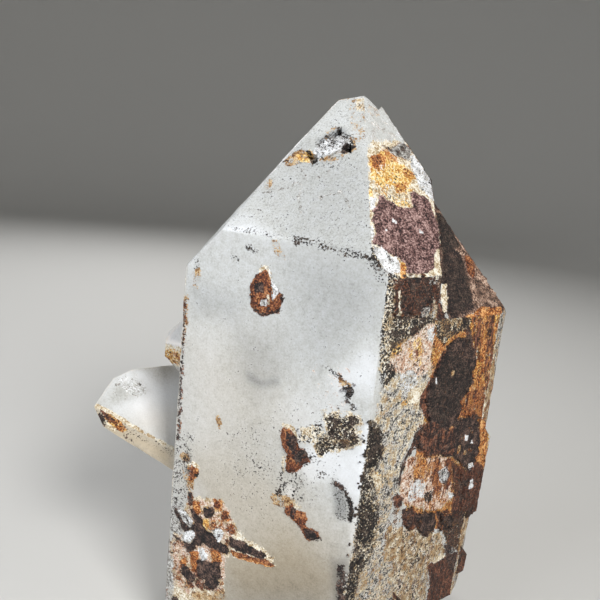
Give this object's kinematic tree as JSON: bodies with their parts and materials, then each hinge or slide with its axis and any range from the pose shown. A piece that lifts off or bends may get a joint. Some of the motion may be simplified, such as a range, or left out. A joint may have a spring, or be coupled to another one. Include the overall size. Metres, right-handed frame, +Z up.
{
  "type": "quartz floater",
  "caption": "Floater of milky quartz points grown side by side, standing upright on a healed base, with iron and manganese oxide crusts on its faces.",
  "frame": {"origin": "centre of the whole specimen's box, at the level of the flat base facet it stands on", "axes": "+Z up along the quartz's c axis, -Y towards the viewer of the picture, +X to the viewer's right"},
  "size_m": [0.1031, 0.0727, 0.1396],
  "materials": {
    "quartz": "frosted, translucent, glossy growth faces",
    "hematite": "fine striated crust, dull with small glints",
    "rust": "rough earthy crust",
    "ochre": "powdery granular crust",
    "manganese": "granular black crust"
  },
  "bodies": {
    "root": {"quartz_crystals": "quartz", "rust_patch": "rust", "red_plate_upper": "rust", "red_plate_lower": "rust", "black_crust": "manganese", "dark_curl": "manganese", "star_crust": "hematite", "star_bead": "rust", "hematite_plate": "hematite", "ochre_crust": "ochre", "brown_crust": "rust", "dark_edge_crust": "manganese", "granular_crust": "hematite", "charcoal_band": "manganese", "rust_band": "rust", "brown_knob": "rust"}
  },
  "joints": []
}
